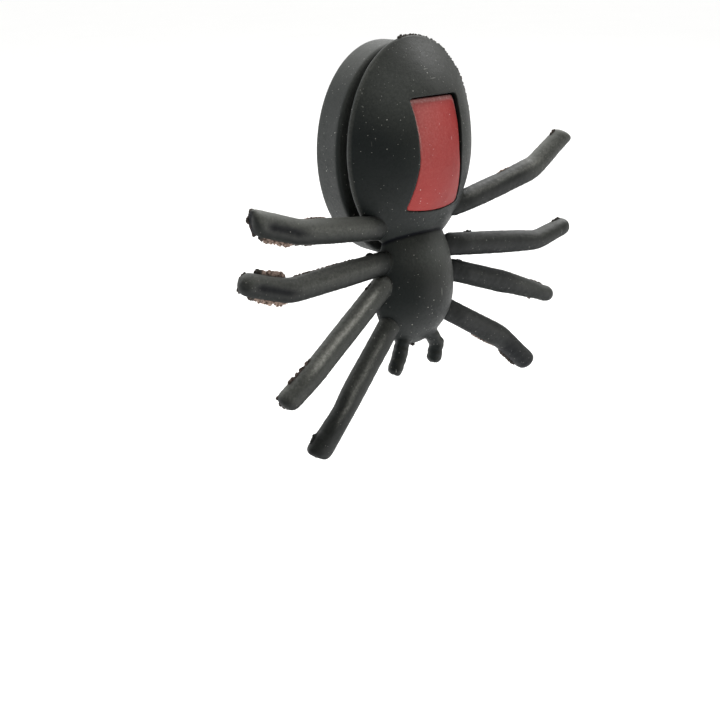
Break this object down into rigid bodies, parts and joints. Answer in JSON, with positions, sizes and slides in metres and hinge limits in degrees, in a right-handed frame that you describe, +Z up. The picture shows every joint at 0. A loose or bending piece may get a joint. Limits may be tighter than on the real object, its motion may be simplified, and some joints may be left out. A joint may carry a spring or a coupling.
{
  "type": "vibration dampener",
  "caption": "Spider-shaped rubber vibration dampener that clips between the main strings of a tennis racket, with an hourglass inlay and legs that flex.",
  "frame": {"origin": "on the axis of the round neck, in the middle plane of the string groove", "axes": "+Z up along the main strings, towards the abdomen's far end; +Y back through the string bed, towards the rear plate; +X to the right of a viewer in front"},
  "size_m": [0.0524, 0.0118, 0.0484],
  "materials": {
    "black_rubber": "matte",
    "red_rubber": "satin"
  },
  "bodies": {
    "spider_body": {"abdomen": "black_rubber", "cephalothorax": "black_rubber", "hourglass_inlay": "red_rubber", "string_neck": "black_rubber", "rear_plate": "black_rubber", "palp_left": "black_rubber", "palp_right": "black_rubber"},
    "leg_rear_left": {"leg_rear_left": "black_rubber"},
    "leg_rear_right": {"leg_rear_right": "black_rubber"},
    "leg_mid_rear_left": {"leg_mid_rear_left": "black_rubber"},
    "leg_mid_rear_right": {"leg_mid_rear_right": "black_rubber"},
    "leg_mid_front_left": {"leg_mid_front_left": "black_rubber"},
    "leg_mid_front_right": {"leg_mid_front_right": "black_rubber"},
    "leg_front_left": {"leg_front_left": "black_rubber"},
    "leg_front_right": {"leg_front_right": "black_rubber"}
  },
  "joints": [
    {"name": "leg_rear_left_flex", "type": "hinge", "parent": "spider_body", "child": "leg_rear_left", "pos_m": [-0.0063, -0.00195, -0.00905], "axis": [0.1305, 0, 0.9914], "range_deg": [-10, 45], "stiffness_Nm_per_rad": 0.0011},
    {"name": "leg_rear_right_flex", "type": "hinge", "parent": "spider_body", "child": "leg_rear_right", "pos_m": [0.0062, -0.00195, -0.0085], "axis": [0.2164, 0, -0.9763], "range_deg": [-10, 45], "stiffness_Nm_per_rad": 0.0011},
    {"name": "leg_mid_rear_left_flex", "type": "hinge", "parent": "spider_body", "child": "leg_mid_rear_left", "pos_m": [-0.0056, -0.00195, -0.0135], "axis": [-0.0436, 0, 0.999], "range_deg": [-10, 45], "stiffness_Nm_per_rad": 0.0011},
    {"name": "leg_mid_rear_right_flex", "type": "hinge", "parent": "spider_body", "child": "leg_mid_rear_right", "pos_m": [0.0054, -0.00195, -0.0131], "axis": [-0.1444, 0, -0.9895], "range_deg": [-10, 45], "stiffness_Nm_per_rad": 0.0011},
    {"name": "leg_mid_front_left_flex", "type": "hinge", "parent": "spider_body", "child": "leg_mid_front_left", "pos_m": [-0.0058, -0.00195, -0.0164], "axis": [-0.6225, 0, 0.7826], "range_deg": [-10, 45], "stiffness_Nm_per_rad": 0.0011},
    {"name": "leg_mid_front_right_flex", "type": "hinge", "parent": "spider_body", "child": "leg_mid_front_right", "pos_m": [0.0057, -0.00195, -0.0165], "axis": [-0.3502, 0, -0.9367], "range_deg": [-10, 45], "stiffness_Nm_per_rad": 0.0011},
    {"name": "leg_front_left_flex", "type": "hinge", "parent": "spider_body", "child": "leg_front_left", "pos_m": [-0.00495, -0.00195, -0.0218], "axis": [-0.7716, 0, 0.6361], "range_deg": [-10, 45], "stiffness_Nm_per_rad": 0.0011},
    {"name": "leg_front_right_flex", "type": "hinge", "parent": "spider_body", "child": "leg_front_right", "pos_m": [0.005, -0.00195, -0.0216], "axis": [-0.5299, 0, -0.848], "range_deg": [-10, 45], "stiffness_Nm_per_rad": 0.0011}
  ]
}
